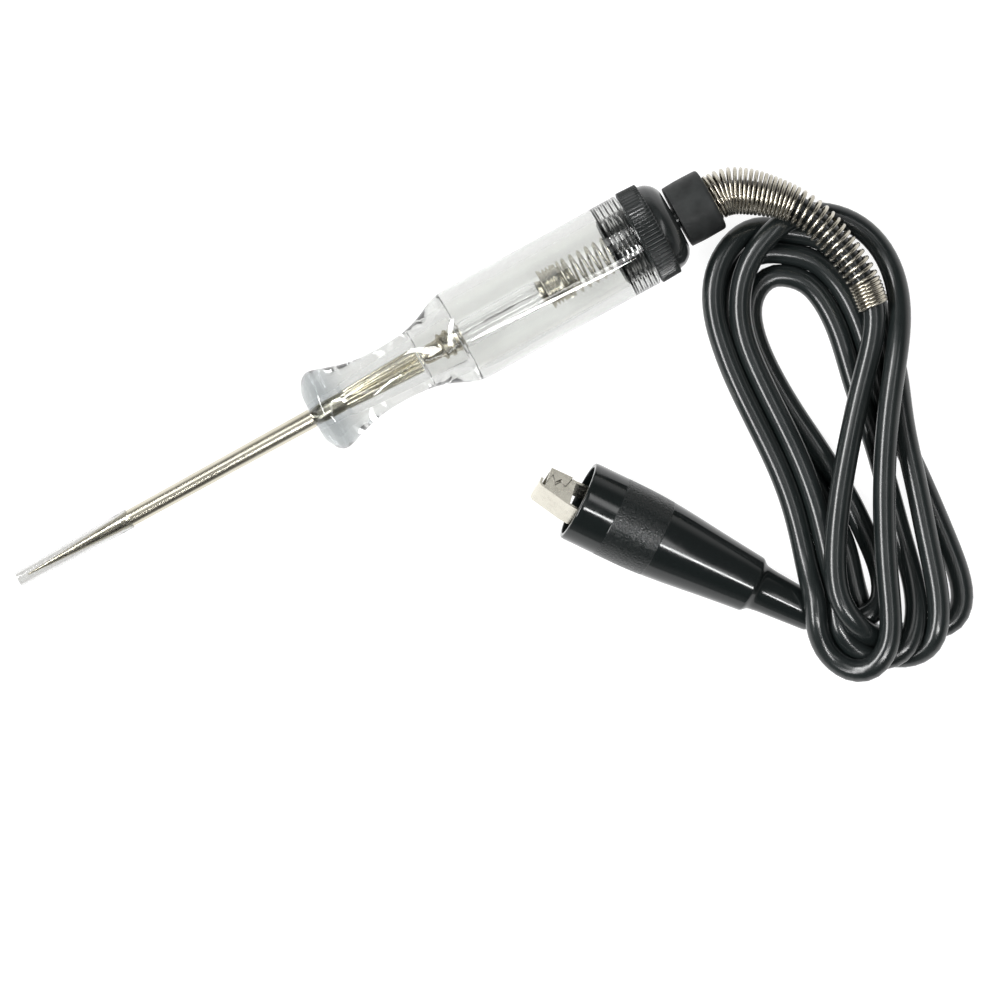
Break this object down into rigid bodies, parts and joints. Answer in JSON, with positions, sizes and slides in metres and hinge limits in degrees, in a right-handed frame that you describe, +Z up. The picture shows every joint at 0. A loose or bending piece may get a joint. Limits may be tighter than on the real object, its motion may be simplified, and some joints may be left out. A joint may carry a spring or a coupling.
{
  "type": "circuit test light",
  "caption": "Probe-style circuit tester with a lamp in a clear screwdriver-like handle, a sprung strain relief, and a bundled cord to a booted ground clip.",
  "frame": {"origin": "middle of the tool's length, on the surface that it lies on, directly below the tool's axis", "axes": "+X along the tool from the needle tip to the cord collar, +Z up"},
  "size_m": [0.1787, 0.1059, 0.0194],
  "materials": {
    "clear_acrylic": "polished clear plastic",
    "clear_vinyl": "soft clear plastic",
    "lamp_glass": "clear bulb glass",
    "rod_steel": "nickel plated and fine ground",
    "nickel": "nickel plated",
    "contact_brass": "tinned brass",
    "tungsten": "drawn wire",
    "gloss_black": "moulded gloss",
    "boot_vinyl": "gloss vinyl with a textured band",
    "matte_rubber": "matte",
    "cord_vinyl": "gloss extruded vinyl",
    "copper": "stranded copper"
  },
  "bodies": {
    "cap_and_cord": {"screw_cap": "gloss_black", "cap_contact_plate": "contact_brass", "contact_spring": "nickel", "collar_bush": "matte_rubber", "strain_relief_spring": "nickel", "cord_lead": "cord_vinyl", "lead_core_end": "copper", "cord_bundle_upper": "cord_vinyl", "cord_bundle_lower": "cord_vinyl", "cord_tail": "cord_vinyl", "clip_boot": "boot_vinyl", "clip_lower_jaw": "nickel", "clip_pivot_pin": "nickel", "clip_torsion_spring": "nickel", "clip_crimp_barrel": "nickel", "clip_conductor": "copper"},
    "lamp": {"lamp_front_cap": "nickel", "lamp_glass": "lamp_glass", "lamp_filament": "tungsten", "lamp_rear_cap": "nickel", "rear_contact_cup": "nickel"},
    "handle": {"handle_barrel": "clear_acrylic", "probe_rod": "rod_steel", "front_contact_cup": "contact_brass"},
    "cover": {"tip_cover": "clear_vinyl"},
    "upper_jaw": {"clip_upper_jaw": "nickel"}
  },
  "joints": [
    {"name": "lamp_draw", "type": "slide", "parent": "cap_and_cord", "child": "lamp", "axis": [-1, 0, 0], "range_m": [0, 0.006]},
    {"name": "handle_unscrew", "type": "hinge", "parent": "lamp", "child": "handle", "pos_m": [0, 0, 0.0097], "axis": [-1, 0, 0], "range_deg": [0, 2162]},
    {"name": "cover_pull", "type": "slide", "parent": "handle", "child": "cover", "axis": [-1, 0, 0], "range_m": [0, 0.025]},
    {"name": "jaw_open", "type": "hinge", "parent": "cap_and_cord", "child": "upper_jaw", "pos_m": [0.03084, -0.04575, 0.00866], "axis": [-0.56, -0.2983, -0.7729], "range_deg": [0, 18], "stiffness_Nm_per_rad": 0.02, "springref_deg": -11.46, "deforming": ["clip_torsion_spring"]}
  ],
  "couplings": [
    {"joint": "handle_unscrew", "follows": "lamp_draw", "rad_per_m": 6283.2}
  ]
}
